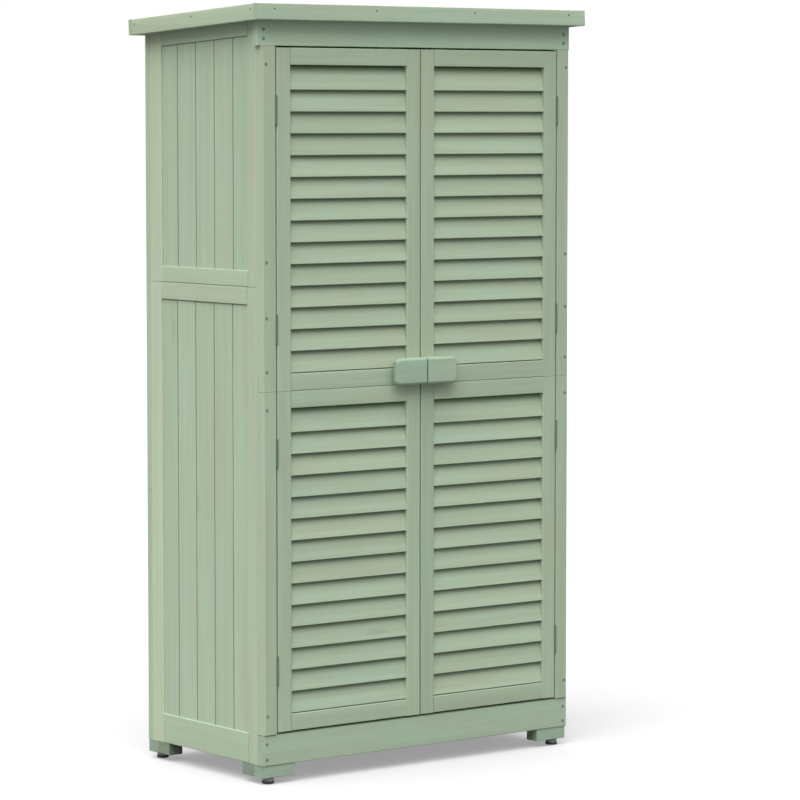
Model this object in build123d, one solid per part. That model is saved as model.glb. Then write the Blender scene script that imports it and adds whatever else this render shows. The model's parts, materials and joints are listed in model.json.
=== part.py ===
from build123d import *
import os
from math import cos, pi, radians, sin, tan

# A tall wooden garden storage cabinet with two louvred doors under a lean-to roof.
# Millimetres, +Z up, the doors face -Y. The origin is on the ground at the middle of the overall box.

# Overall
overall_height = 1600.0
body_width = 811.0
body_depth = 429.0
roof_overhang_side = 29.5
roof_overhang_front = 18.5
roof_overhang_back = 17.5
roof_slope = 3.0
edge_ease = 1.2

# Feet
glide_height = 14.0
glide_diameter = 26.0
glide_collar_diameter = 24.0
glide_base_height = 6.0
glide_edge_ease = 2.0
glide_from_side = 25.0
glide_from_face = 20.0
foot_height = 26.0
foot_bar = 34.0
foot_setback = 2.0
front_foot_across = 79.0
back_foot_across = 60.0
foot_leg_deep = 76.0

# Roof
rim_height = 33.0
rim_thickness = 12.0
rim_above_felt = 1.5
felt_thickness = 2.0
deck_thickness = 12.0
deck_board_count = 5
deck_board_gap = 0.6
batten_width = 40.0
batten_thickness = 16.0
batten_from_side = 90.0
batten_end_gap = 6.0
nail_diameter = 3.4
nail_length = 27.0
nail_proud = 0.3
nail_below_top = 11.0
nail_from_corner = 45.0
nail_from_side_corner = 21.5
across_nail_count = 4
deep_nail_count = 3

# Side and back panels
side_thickness = 15.0
back_thickness = 17.0
panel_seam = 0.6
groove_depth = 12.0
groove_end_gap = 1.0
groove_fit = 0.15
panel_board_thickness = 8.0
panel_board_inset = 3.5
panel_board_pitch = 67.0
panel_board_joint = 0.4
panel_board_vee = 1.4
lower_side_height = 984.0
upper_side_front_stile = 31.5
upper_side_back_stile = 43.5
lower_side_front_stile = 35.5
lower_side_back_stile = 40.5
upper_side_top_rail = 44.5
upper_side_bottom_rail = 33.0
lower_side_top_rail = 36.0
lower_side_bottom_rail = 62.0
lower_back_height = 541.0
back_stile = 42.0
back_rail = 45.0

# Front of the carcass
post_width = 31.0
post_thickness = 24.0
header_height = 68.0
header_thickness = 15.5
header_overhang = 8.0
bottom_rail_height = 64.5
bottom_rail_thickness = 21.0
bottom_rail_overhang = 1.5

# Floor and shelves
floor_below_rail = 3.5
shelf_thickness = 12.0
shelf_spacing = 470.0
shelf_board_count = 4
shelf_board_gap = 10.0
shelf_clearance = 1.0
shelf_front_gap = 4.0
shelf_back_gap = 3.0
bearer_width = 20.0
bearer_height = 24.0

# Doors
door_gap = 3.0
door_end_gap = 3.5
door_thickness = 22.0
door_half_seam = 0.6
lower_door_height = 703.0
door_stile = 34.5
door_rail = 35.0
slat_thickness = 5.0
slat_width = 50.3
slat_tilt = 13.0
slat_pitch = 44.4
slat_setback = 1.5
slat_end_gap = 1.0
slat_seat = 7.0
slat_end_play = 0.4
slat_fit = 0.15
slat_ease = 1.0

# Handles
handle_width = 80.0
handle_height = 56.0
handle_proud = 25.0
handle_foot = 42.0
handle_cove = 11.0
handle_corner = 10.0
handle_chamfer = 4.0

# Door hardware
hinge_length = 60.0
hinge_from_end = 127.0
hinge_leaf_depth = 19.0
hinge_leaf_thickness = 1.1
knuckle_radius = 2.7
knuckle_gap = 0.3
knuckle_count = 3
knuckle_recess = 0.4
hinge_pin_radius = 1.2
hinge_pin_clearance = 0.06
hinge_pin_tip = 0.4
plate_width = 22.0
plate_height = 110.0
plate_thickness = 1.8
catch_width = 46.0
catch_depth = 14.0
catch_above_edge = 12.0
catch_below_edge = 24.0
catch_from_middle = 70.0
strike_width = 40.0
strike_height = 16.0
strike_thickness = 1.4
strike_below_top = 5.0

# Screws
screw_head_radius = 3.7
screw_shank_radius = 2.0
screw_head_depth = 2.4
screw_bite = 17.0
fastener_fit = 0.1
upper_post_screw_heights = (40.0, 150.0, 264.0)
post_screw_from_end = 38.0
header_screw_heights = (14.0, 33.0)
bottom_rail_screw_heights = (12.5, 44.5)
back_screw_from_end = 45.0

# Small round pieces that repeat are drawn with flats, so that the model stays light
fastener_flat_count = 6
barrel_flat_count = 8
glide_flat_count = 16

# Places worked out from the sizes above
rad_slope = radians(roof_slope)
fall = tan(rad_slope)
roof_width = body_width + 2 * roof_overhang_side
roof_depth = roof_overhang_front + body_depth + roof_overhang_back
roof_length = roof_depth / cos(rad_slope)
front_reach = max(handle_proud, roof_overhang_front + rim_height * sin(rad_slope))
front = front_reach - (front_reach + body_depth + roof_overhang_back) / 2
back = front + body_depth
roof_front = front - roof_overhang_front
deck_depth = rim_above_felt + felt_thickness + deck_thickness
half_body = body_width / 2
half_inside = half_body - side_thickness
half_opening = half_body - post_width
hinge_x = half_opening - door_gap / 2
half_doors = half_opening - door_gap
post_back = front + post_thickness
side_back = back - back_thickness
screw_x = half_body - side_thickness / 2


def deck_under(y):
    """Height of the deck's underside at a depth."""
    return overall_height - (y - roof_front) * fall - deck_depth / cos(rad_slope)


carcass_bottom = glide_height + foot_height
bottom_rail_top = carcass_bottom + bottom_rail_height
header_front = post_back - header_thickness
header_bottom = deck_under(header_front) - header_height
bottom_rail_front = post_back - bottom_rail_thickness
door_bottom = bottom_rail_top + door_end_gap
door_top = header_bottom - door_end_gap
door_seam = door_bottom + lower_door_height
side_seam = carcass_bottom + lower_side_height
back_seam = carcass_bottom + lower_back_height
floor_top = bottom_rail_top - floor_below_rail


def eased(solid, axis, amount=edge_ease):
    """Ease the edges of a solid that run mostly along an axis."""
    nearly_along = 0.9
    halfway = 0.5

    def runs_along(edge):
        return abs((edge % halfway).dot(axis.direction)) > nearly_along

    return chamfer(solid.edges().filter_by(runs_along), amount)


def block(x, y, z):
    """A plain block that fills three ranges."""
    middle = Pos((x[0] + x[1]) / 2, (y[0] + y[1]) / 2, (z[0] + z[1]) / 2)
    return middle * Box(x[1] - x[0], y[1] - y[0], z[1] - z[0])


def bar(x, y, z, axis, amount=edge_ease):
    """A planed bar that fills three ranges, with its four long edges eased."""
    return eased(block(x, y, z), axis, amount)


def rod(radius, length, flat_count):
    """A rod that stands on the origin, as wide over its corners as a round one."""
    return extrude(RegularPolygon(radius, flat_count), length)


def outline_xz(points, y):
    """A closed outline in X and Z, made solid over a range of depths."""
    face = make_face(Polyline([(px, y[0], pz) for px, pz in points], close=True))
    return extrude(face, y[1] - y[0], dir=(0, 1, 0))


def outline_yz(points, x):
    """A closed outline in Y and Z, made solid over a range across."""
    face = make_face(Polyline([(x[0], py, pz) for py, pz in points], close=True))
    return extrude(face, x[1] - x[0], dir=(1, 0, 0))


def mirrored(pieces):
    """The same pieces on the other side of the middle."""
    return [mirror(piece, about=Plane.YZ) for piece in pieces]


def evenly(low, high, count):
    """Places spread evenly from the first to the last."""
    return [low + (high - low) * i / (count - 1) for i in range(count)]


# Panels: boards held in the grooves of a frame of two stiles and two rails

def framed_panel(width, bottom, top_first, top_last, thickness, stiles, rails):
    """Frame and boards of a panel in the XZ plane, outer face at y = 0, from x = 0 to its width.

    The top edge may slope: top_first is its height at x = 0 and top_last at the far side.
    stiles holds the widths of the first and the last stile, rails the heights of the bottom and top rail.
    """
    def top_at(x):
        return top_first + (top_last - top_first) * x / width

    def field(low_x, high_x, low_z, below_top, y):
        points = [(low_x, low_z), (high_x, low_z)]
        points += [(high_x, top_at(high_x) - below_top), (low_x, top_at(low_x) - below_top)]
        return outline_xz(points, y)

    first_edge = stiles[0]
    last_edge = width - stiles[1]
    through = (0, thickness)
    members = [
        eased(field(0, first_edge, bottom, 0, through), Axis.Z),
        eased(field(last_edge, width, bottom, 0, through), Axis.Z),
        bar((first_edge, last_edge), through, (bottom, bottom + rails[0]), Axis.X),
    ]
    head = [(x, top_at(x) - rails[1]) for x in (first_edge, last_edge)]
    head += [(x, top_at(x)) for x in (last_edge, first_edge)]
    members.append(eased(outline_xz(head, through), Axis.X))

    board_face = panel_board_inset
    board_back = panel_board_inset + panel_board_thickness
    groove = field(
        first_edge - groove_depth,
        last_edge + groove_depth,
        bottom + rails[0] - groove_depth,
        rails[1] - groove_depth,
        (board_face - groove_fit, board_back + groove_fit),
    )
    members = [member - groove for member in members]

    tongue = groove_depth - groove_end_gap
    low_x = first_edge - tongue
    span = last_edge + tongue - low_x
    count = max(2, round(span / panel_board_pitch))
    pitch = span / count
    boards = []
    for i in range(count):
        board = field(
            low_x + i * pitch + panel_board_joint / 2,
            low_x + (i + 1) * pitch - panel_board_joint / 2,
            bottom + rails[0] - tongue,
            rails[1] - tongue,
            (board_face, board_back),
        )
        upright = board.edges().filter_by(Axis.Z).group_by(Axis.Y)[0]
        boards.append(chamfer(upright, panel_board_vee))
    return members, boards


def left_side_panel(bottom, top_back, top_front, stiles, rails):
    """A panel turned to face left, running from the back panel to the front post."""
    place = Pos(-half_body, side_back, 0) * Rot(Z=-90)
    frame, boards = framed_panel(
        side_back - post_back, bottom, top_back, top_front, side_thickness, stiles, rails
    )
    return [place * piece for piece in frame], [place * piece for piece in boards]


def back_panel(bottom, top):
    """A panel turned to face the back, as wide as the body."""
    place = Pos(half_body, back, 0) * Rot(Z=180)
    frame, boards = framed_panel(
        body_width, bottom, top, top, back_thickness, (back_stile, back_stile), (back_rail, back_rail)
    )
    return [place * piece for piece in frame], [place * piece for piece in boards]


lower_side_frame, lower_side_boards = left_side_panel(
    carcass_bottom,
    side_seam - panel_seam / 2,
    side_seam - panel_seam / 2,
    (lower_side_back_stile, lower_side_front_stile),
    (lower_side_bottom_rail, lower_side_top_rail),
)
upper_side_frame, upper_side_boards = left_side_panel(
    side_seam + panel_seam / 2,
    deck_under(side_back),
    deck_under(post_back),
    (upper_side_back_stile, upper_side_front_stile),
    (upper_side_bottom_rail, upper_side_top_rail),
)
lower_back_frame, lower_back_boards = back_panel(carcass_bottom, back_seam - panel_seam / 2)
upper_back_frame, upper_back_boards = back_panel(back_seam + panel_seam / 2, deck_under(back))

# Roof: built flat with its top front edge on the origin, then tilted and lifted into place

on_roof = Pos(0, roof_front, overall_height) * Rot(X=-roof_slope)
half_roof = roof_width / 2
inner_half_roof = half_roof - rim_thickness
inner_roof = (rim_thickness, roof_length - rim_thickness)
rim_z = (-rim_height, 0)
felt_bottom = -rim_above_felt - felt_thickness

rim_front = bar((-half_roof, half_roof), (0, rim_thickness), rim_z, Axis.X)
rim_back = bar((-half_roof, half_roof), (roof_length - rim_thickness, roof_length), rim_z, Axis.X)
rim_left = bar((-half_roof, -inner_half_roof), inner_roof, rim_z, Axis.Y)
rim_right = bar((inner_half_roof, half_roof), inner_roof, rim_z, Axis.Y)
felt = block((-inner_half_roof, inner_half_roof), inner_roof, (felt_bottom, -rim_above_felt))

deck_pitch = (inner_roof[1] - inner_roof[0] + deck_board_gap) / deck_board_count
deck_boards = []
for i in range(deck_board_count):
    low_y = inner_roof[0] + i * deck_pitch
    deck_boards.append(
        block(
            (-inner_half_roof, inner_half_roof),
            (low_y, low_y + deck_pitch - deck_board_gap),
            (-deck_depth, felt_bottom),
        )
    )

batten_run = (
    (post_back + batten_end_gap - roof_front) / cos(rad_slope),
    (side_back - batten_end_gap - roof_front) / cos(rad_slope),
)
battens = []
for middle in (-half_inside + batten_from_side, 0, half_inside - batten_from_side):
    across = (middle - batten_width / 2, middle + batten_width / 2)
    battens.append(block(across, batten_run, (-deck_depth - batten_thickness, -deck_depth)))


def nail_at(x, y, turn, extra):
    """A round nail driven level into the rim, its head at (x, y), pointing along +Y before it is turned."""
    nail = rod(nail_diameter / 2 + extra, nail_length, fastener_flat_count)
    return Pos(x, y, -nail_below_top) * Rot(Z=turn) * Pos(0, -nail_proud, 0) * Rot(X=-90) * nail


nail_places = []
for x in evenly(-half_roof + nail_from_corner, half_roof - nail_from_corner, across_nail_count):
    nail_places += [(x, 0, 0), (x, roof_length, 180)]
for y in evenly(nail_from_side_corner, roof_length - nail_from_side_corner, deep_nail_count):
    nail_places += [(-half_roof, y, -90), (half_roof, y, 90)]
nails = [nail_at(x, y, turn, 0) for x, y, turn in nail_places]
nail_holes = [nail_at(x, y, turn, fastener_fit) for x, y, turn in nail_places]

rims = [rim - nail_holes for rim in (rim_front, rim_back, rim_left, rim_right)]
deck_boards = [board - nail_holes for board in deck_boards]
rims = [on_roof * rim for rim in rims]

# Front rails, posts and the screws that hold them on the side panels

header = outline_yz(
    [
        (header_front, header_bottom),
        (post_back, header_bottom),
        (post_back, deck_under(post_back)),
        (header_front, deck_under(header_front)),
    ],
    (-half_body - header_overhang, half_body + header_overhang),
)
header = chamfer(header.edges().filter_by(Axis.X).group_by(Axis.Z)[0], edge_ease)
rail_end = half_body + bottom_rail_overhang
bottom_rail = bar(
    (-rail_end, rail_end), (bottom_rail_front, post_back), (carcass_bottom, bottom_rail_top), Axis.X
)

post_x = (-half_body, -half_opening)
lower_post = bar(post_x, (front, post_back), (bottom_rail_top, door_seam - door_half_seam / 2), Axis.Z)
upper_post = bar(post_x, (front, post_back), (door_seam + door_half_seam / 2, header_bottom), Axis.Z)


def left_screw(y, z, through, extra):
    """A countersunk wood screw on the left, its head flush at a depth and a height.

    It goes through a board and bites into the edge of the side panel, from the front or from the back.
    """
    head_top = RegularPolygon(screw_head_radius + extra, fastener_flat_count)
    head_neck = RegularPolygon(screw_shank_radius + extra, fastener_flat_count)
    head = loft([head_top, Pos(0, 0, screw_head_depth) * head_neck], ruled=True)
    shank = rod(screw_shank_radius + extra, through + screw_bite - screw_head_depth, fastener_flat_count)
    turn = 180 if y == back else 0
    return Pos(-screw_x, y, z) * Rot(Z=turn) * Rot(X=-90) * (head + Pos(0, 0, screw_head_depth) * shank)


screw_places = []
for height in header_screw_heights:
    screw_places.append((header_front, header_bottom + height, header_thickness))
for height in bottom_rail_screw_heights:
    screw_places.append((bottom_rail_front, carcass_bottom + height, bottom_rail_thickness))
for height in upper_post_screw_heights:
    screw_places.append((front, door_seam + height, post_thickness))
screw_places.append((front, header_bottom - post_screw_from_end, post_thickness))
screw_places.append((front, door_seam - post_screw_from_end, post_thickness))
screw_places.append((front, bottom_rail_top + post_screw_from_end, post_thickness))
for low, high in ((carcass_bottom, back_seam), (back_seam, deck_under(back))):
    screw_places.append((back, low + back_screw_from_end, back_thickness))
    screw_places.append((back, high - back_screw_from_end, back_thickness))

left_screws = [left_screw(*place, 0) for place in screw_places]
left_holes = [left_screw(*place, fastener_fit) for place in screw_places]
all_holes = left_holes + mirrored(left_holes)

header = header - all_holes
bottom_rail = bottom_rail - all_holes
lower_post = lower_post - left_holes
upper_post = upper_post - left_holes
lower_side_frame = [member - left_holes for member in lower_side_frame]
upper_side_frame = [member - left_holes for member in upper_side_frame]
lower_back_frame = [member - all_holes for member in lower_back_frame]
upper_back_frame = [member - all_holes for member in upper_back_frame]

# Floor and shelves: boards across, resting on bearers along the side panels


def shelf_boards(top):
    """Boards of one level, spread evenly from front to back."""
    low_y = post_back + shelf_front_gap
    pitch = (side_back - shelf_back_gap - low_y + shelf_board_gap) / shelf_board_count
    half = half_inside - shelf_clearance
    boards = []
    for i in range(shelf_board_count):
        depth = (low_y + i * pitch, low_y + (i + 1) * pitch - shelf_board_gap)
        boards.append(block((-half, half), depth, (top - shelf_thickness, top)))
    return boards


def level_bearers(top):
    """The two bearers under one level, fixed to the side panels."""
    under = top - shelf_thickness
    left = block(
        (-half_inside, -half_inside + bearer_width),
        (post_back + shelf_front_gap, side_back - shelf_back_gap),
        (under - bearer_height, under),
    )
    return [left] + mirrored([left])


shelf_tops = (floor_top + shelf_spacing, floor_top + 2 * shelf_spacing)

# Feet: two blocks butted into an L, set back under each corner, standing on a round glide


def foot(corner_y, inward, leg_across):
    """The left foot under a corner; inward is 1 for a front foot and -1 for a back one."""
    outer_x = -rail_end + foot_setback
    outer_y = corner_y + inward * foot_setback

    def deep(a, b):
        return tuple(sorted((outer_y + inward * a, outer_y + inward * b)))

    z = (glide_height, carcass_bottom)
    across = bar((outer_x, outer_x + leg_across), deep(0, foot_bar), z, Axis.X)
    along = bar((outer_x, outer_x + foot_bar), deep(foot_bar, foot_leg_deep), z, Axis.Y)
    return [across, along]


def glide(x, y):
    """A moulded glide: a collar under the foot on a wider base with an eased lower edge."""
    collar = rod(glide_collar_diameter / 2, glide_height - glide_base_height, glide_flat_count)
    base = rod(glide_diameter / 2, glide_base_height, glide_flat_count)
    base = chamfer(base.edges().group_by(Axis.Z)[0], glide_edge_ease)
    return Pos(x, y, 0) * (base + Pos(0, 0, glide_base_height) * collar)


left_glides = [
    glide(-rail_end + glide_from_side, bottom_rail_front + glide_from_face),
    glide(-rail_end + glide_from_side, back - glide_from_face),
]
front_foot = foot(bottom_rail_front, 1, front_foot_across)
back_foot = foot(back, -1, back_foot_across)

# Left door: two louvred halves, one above the other, with hinges on the post side

door_x = (-half_doors, -door_gap / 2)
door_y = (front, front + door_thickness)
slat_lean = radians(slat_tilt)
slat_rise = slat_width * cos(slat_lean)
slat_dip = slat_thickness * sin(slat_lean)


def slat_block(x, z, extra):
    """A slat between two places across, its lower edges eased, leaning back as it rises."""
    blade = Box(
        x[1] - x[0],
        slat_thickness + 2 * extra,
        slat_width + 2 * extra,
        align=(Align.MIN, Align.MIN, Align.MIN),
    )
    if extra == 0:
        blade = chamfer(blade.edges().filter_by(Axis.X).group_by(Axis.Z)[0], slat_ease)
    lean = Pos(x[0], front + slat_setback, z) * Rot(X=-slat_tilt)
    return lean * Pos(0, -extra, -extra) * blade


def louvred_half(bottom, top):
    """Frame members and slats of one half of the left door."""
    inner_x = (door_x[0] + door_stile, door_x[1] - door_stile)
    inner_z = (bottom + door_rail, top - door_rail)
    lowest = inner_z[0] + slat_end_gap + slat_dip
    highest = inner_z[1] - slat_end_gap - slat_rise
    count = max(2, round((highest - lowest) / slat_pitch) + 1)
    heights = evenly(lowest, highest, count)

    reach = slat_seat - slat_end_play
    slats = [slat_block((inner_x[0] - reach, inner_x[1] + reach), z, 0) for z in heights]
    slots = [slat_block((inner_x[0] - slat_seat, inner_x[1] + slat_seat), z, slat_fit) for z in heights]
    hinge_stile = bar((door_x[0], inner_x[0]), door_y, (bottom, top), Axis.Z) - slots
    free_stile = bar((inner_x[1], door_x[1]), door_y, (bottom, top), Axis.Z) - slots
    bottom_member = bar(inner_x, door_y, (bottom, inner_z[0]), Axis.X)
    top_member = bar(inner_x, door_y, (inner_z[1], top), Axis.X)
    return [hinge_stile, free_stile, bottom_member, top_member], slats


lower_half = (door_bottom, door_seam - door_half_seam / 2)
upper_half = (door_seam + door_half_seam / 2, door_top)
lower_door_frame, lower_door_slats = louvred_half(*lower_half)
upper_door_frame, upper_door_slats = louvred_half(*upper_half)

# Hinges: the barrel lies on the front plane in the gap, in a square notch shared by post and door

hinge_bottoms = []
for low, high in (lower_half, upper_half):
    hinge_bottoms += [low + hinge_from_end - hinge_length / 2, high - hinge_from_end - hinge_length / 2]
knuckle_height = hinge_length / knuckle_count


def barrel(radius, low, high):
    """A rod on the left hinge line."""
    return Pos(-hinge_x, front, low) * rod(radius, high - low, barrel_flat_count)


def pin_bore(low):
    """The knuckles' bore, with flats that clear the round pin."""
    over_flats = hinge_pin_radius + hinge_pin_clearance
    return barrel(over_flats / cos(pi / barrel_flat_count), low, low + hinge_length)


def hinge_leaf(low, first_knuckle, side):
    """One leaf with every second knuckle; side is -1 for the post's leaf and 1 for the door's."""
    wall = -hinge_x + side * door_gap / 2
    x = tuple(sorted((wall, wall - side * hinge_leaf_thickness)))
    leaf = block(x, (front, front + hinge_leaf_depth), (low, low + hinge_length))
    leaf = leaf - barrel(knuckle_radius + knuckle_gap, low, low + hinge_length)
    for i in range(first_knuckle, knuckle_count, 2):
        z = (low + i * knuckle_height + knuckle_gap / 2, low + (i + 1) * knuckle_height - knuckle_gap / 2)
        leaf = leaf + barrel(knuckle_radius, *z)
        leaf = leaf + block(x, (front, front + 2 * knuckle_radius), z)
    return leaf - pin_bore(low)


post_leaves = [hinge_leaf(low, 0, -1) for low in hinge_bottoms]
door_leaves = [hinge_leaf(low, 1, 1) for low in hinge_bottoms]
pins = []
recesses = []
recess_reach = knuckle_radius + knuckle_recess
for low in hinge_bottoms:
    high = low + hinge_length
    pin = Cylinder(hinge_pin_radius, hinge_length + 2 * hinge_pin_tip)
    pins.append(Pos(-hinge_x, front, (low + high) / 2) * pin)
    recesses.append(
        block(
            (-hinge_x - recess_reach, -hinge_x + recess_reach),
            (front - recess_reach, front + recess_reach),
            (low - knuckle_recess, high + knuckle_recess),
        )
    )

lower_post = lower_post - recesses
upper_post = upper_post - recesses
lower_door_frame[0] = lower_door_frame[0] - recesses
upper_door_frame[0] = upper_door_frame[0] - recesses

# Handle: a block with a rounded outer end, chamfered rims and a finger cove routed behind it

handle_z = (upper_half[0], upper_half[0] + handle_height)
handle_x = (door_x[1] - handle_width, door_x[1])
handle = block(handle_x, (front - handle_proud, front), handle_z)
handle = fillet(handle.edges().filter_by(Axis.Y).group_by(Axis.X)[0], handle_corner)
front_rim = handle.faces().sort_by(Axis.Y)[0].edges().sort_by(Axis.X)
handle = chamfer(front_rim[:-1], handle_chamfer)
cove_x = door_x[1] - handle_foot - handle_cove
cove = block((handle_x[0] - handle_cove, cove_x), (front - handle_cove, front + handle_cove), handle_z)
cove = cove + Pos(cove_x, front, sum(handle_z) / 2) * Cylinder(handle_cove, handle_height)
handle = handle - cove

# Joining plates across the seam of the halves, and the magnet catch with its strike plate

door_back = door_y[1]
plates = []
for middle in (door_x[0] + door_stile / 2, door_x[1] - door_stile / 2):
    plates.append(
        block(
            (middle - plate_width / 2, middle + plate_width / 2),
            (door_back, door_back + plate_thickness),
            (door_seam - plate_height / 2, door_seam + plate_height / 2),
        )
    )
strike_top = door_top - strike_below_top
strike = block(
    (-catch_from_middle - strike_width / 2, -catch_from_middle + strike_width / 2),
    (door_back, door_back + strike_thickness),
    (strike_top - strike_height, strike_top),
)
catch = bar(
    (-catch_from_middle - catch_width / 2, -catch_from_middle + catch_width / 2),
    (post_back, post_back + catch_depth),
    (header_bottom - catch_below_edge, header_bottom + catch_above_edge),
    Axis.X,
)

# Every sub-part by name; what stands on the left is repeated on the right

left_pieces = {
    "lower_side_frame": lower_side_frame,
    "lower_side_boards": lower_side_boards,
    "upper_side_frame": upper_side_frame,
    "upper_side_boards": upper_side_boards,
    "lower_post": [lower_post],
    "upper_post": [upper_post],
    "front_foot": front_foot,
    "back_foot": back_foot,
    "hinge_post_leaves": post_leaves,
    "hinge_pins": pins,
    "lower_door_frame": lower_door_frame,
    "lower_door_slats": lower_door_slats,
    "upper_door_frame": upper_door_frame,
    "upper_door_slats": upper_door_slats,
    "door_handle": [handle],
    "hinge_door_leaves": door_leaves,
    "door_joining_plates": plates,
    "door_strike_plate": [strike],
}
nodes = {
    "roof_rim_front": [rims[0]],
    "roof_rim_back": [rims[1]],
    "roof_rim_left": [rims[2]],
    "roof_rim_right": [rims[3]],
    "roof_felt": [on_roof * felt],
    "roof_deck_boards": [on_roof * board for board in deck_boards],
    "roof_battens": [on_roof * batten for batten in battens],
    "roof_nails": [on_roof * nail for nail in nails],
    "lower_back_frame": lower_back_frame,
    "lower_back_boards": lower_back_boards,
    "upper_back_frame": upper_back_frame,
    "upper_back_boards": upper_back_boards,
    "header_rail": [header],
    "bottom_rail": [bottom_rail],
    "frame_screws": left_screws + mirrored(left_screws),
    "floor_boards": shelf_boards(floor_top),
    "floor_bearers": level_bearers(floor_top),
    "lower_shelf_boards": shelf_boards(shelf_tops[0]),
    "upper_shelf_boards": shelf_boards(shelf_tops[1]),
    "shelf_bearers": level_bearers(shelf_tops[0]) + level_bearers(shelf_tops[1]),
    "foot_glides": left_glides + mirrored(left_glides),
    "magnet_catches": [catch] + mirrored([catch]),
}
for name, pieces in left_pieces.items():
    nodes["left_" + name] = pieces
    nodes["right_" + name] = mirrored(pieces)

os.makedirs("parts", exist_ok=True)
for name, pieces in nodes.items():
    solids = [solid for piece in pieces for solid in piece.solids()]
    export_step(Compound(solids), f"parts/{name}.step")
print(len(nodes), "sub-parts written")
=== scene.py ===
import json
import math
import random

import bmesh
import bpy
from mathutils import Matrix, Vector, noise

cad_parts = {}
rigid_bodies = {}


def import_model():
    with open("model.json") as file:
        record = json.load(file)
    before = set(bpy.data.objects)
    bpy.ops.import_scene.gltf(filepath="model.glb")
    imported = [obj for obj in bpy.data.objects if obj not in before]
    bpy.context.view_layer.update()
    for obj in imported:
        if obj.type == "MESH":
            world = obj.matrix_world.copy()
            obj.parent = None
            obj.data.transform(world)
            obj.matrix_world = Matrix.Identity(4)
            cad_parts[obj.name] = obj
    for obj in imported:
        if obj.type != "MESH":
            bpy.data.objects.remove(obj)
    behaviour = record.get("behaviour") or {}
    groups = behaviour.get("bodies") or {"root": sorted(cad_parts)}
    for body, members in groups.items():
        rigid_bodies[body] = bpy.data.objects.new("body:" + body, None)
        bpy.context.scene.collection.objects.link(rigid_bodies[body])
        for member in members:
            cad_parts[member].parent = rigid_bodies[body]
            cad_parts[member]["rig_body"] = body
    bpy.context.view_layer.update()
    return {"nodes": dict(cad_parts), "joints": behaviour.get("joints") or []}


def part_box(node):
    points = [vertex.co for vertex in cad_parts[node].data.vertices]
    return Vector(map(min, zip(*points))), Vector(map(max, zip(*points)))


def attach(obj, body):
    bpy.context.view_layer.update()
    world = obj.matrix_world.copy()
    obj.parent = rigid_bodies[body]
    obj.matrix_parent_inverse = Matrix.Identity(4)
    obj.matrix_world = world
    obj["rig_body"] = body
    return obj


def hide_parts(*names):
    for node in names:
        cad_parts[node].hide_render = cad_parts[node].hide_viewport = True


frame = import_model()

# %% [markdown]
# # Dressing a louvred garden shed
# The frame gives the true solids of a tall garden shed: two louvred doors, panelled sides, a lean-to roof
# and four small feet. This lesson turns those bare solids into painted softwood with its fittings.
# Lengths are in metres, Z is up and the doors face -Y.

scene = bpy.context.scene

# %% [markdown]
# ## The camera
# The photograph was taken from the left, a little below the roof, with a long lens, so its edges run
# almost parallel. A camera can be placed by eye, but here its place and lens come from fitting the edges
# of the roof, the doors and the side panels. A lens shift would keep the upright edges quite upright. It
# is left out, because it would push the shed out of the middle in every other view, and a long lens shows
# little of it.

# %% Camera
camera_place = (-4.684, -6.181, 1.372)
camera_heading = 37.788
camera_dip = 4.488
camera_lens = 162.6

camera = bpy.data.objects.new("photo_camera", bpy.data.cameras.new("photo_camera"))
scene.collection.objects.link(camera)
scene.camera = camera
camera.location = camera_place
camera.rotation_euler = (math.radians(90 - camera_dip), 0, math.radians(-camera_heading))
camera.data.lens = camera_lens
camera.data.clip_end = 200
print("Camera", round(camera.location.length, 2), "m from the origin, lens", camera_lens, "mm")

# %% [markdown]
# ## Shader nodes in one line
# A material is a small tree of nodes. Making each node takes three steps: add it, set its options, feed
# its inputs. One helper does all three, so that the trees below read like a recipe.

# %% Helpers for shader trees


def srgb(red, green, blue):
    """A colour as a screen shows it, 0 to 255, in the linear values that shaders use."""
    def linear(level):
        level = level / 255
        return level / 12.92 if level <= 0.04045 else ((level + 0.055) / 1.055) ** 2.4
    return (linear(red), linear(green), linear(blue), 1)


def add(tree, kind, inputs=None, **options):
    """Add a node; an input is a plain value or another node's output."""
    made = tree.nodes.new(kind)
    for name, value in options.items():
        setattr(made, name, value)
    for name, value in (inputs or {}).items():
        if isinstance(value, bpy.types.NodeSocket):
            tree.links.new(value, made.inputs[name])
        else:
            made.inputs[name].default_value = value
    return made


def weighted(tree, start, *terms):
    """A start value plus each output times its weight."""
    total = start
    for output, weight in terms:
        step = add(tree, "ShaderNodeMath", {0: output, 1: weight, 2: total}, operation="MULTIPLY_ADD")
        total = step.outputs[0]
    return total


def mixed(tree, share, first, second):
    """A blend of two colours, the second one by its share."""
    blend = tree.nodes.new("ShaderNodeMix")
    blend.data_type = "RGBA"
    shares, firsts, seconds = blend.inputs[0], blend.inputs[6], blend.inputs[7]
    for socket, value in ((shares, share), (firsts, first), (seconds, second)):
        if isinstance(value, bpy.types.NodeSocket):
            tree.links.new(value, socket)
        else:
            socket.default_value = value
    return blend.outputs[2]


def new_material(name):
    """A material with its node tree and its main shader."""
    material = bpy.data.materials.new(name)
    material.use_nodes = True
    return material, material.node_tree, material.node_tree.nodes["Principled BSDF"]


print("Sage green in linear values", [round(level, 3) for level in srgb(160, 178, 154)[:3]])

# %% [markdown]
# ## Floor, sky and sun
# The photograph stands on white, with a soft grey shadow under the shed and to its right. A wide sun from
# the upper left gives the same light everywhere on the floor, so no edge of a lamp shows. The sky fills
# the shade. It is bright overhead and dim near the horizon, so what hangs over, such as the roof or a
# slat, still throws a dark line. The camera sees a plain white sky. The floor has two greys: a dark one
# for the light that it throws back up, and a lighter one, with some light of its own, in the camera's
# eyes. So it joins the sky, takes the shadow, and doesn't light the shed from below.

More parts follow.
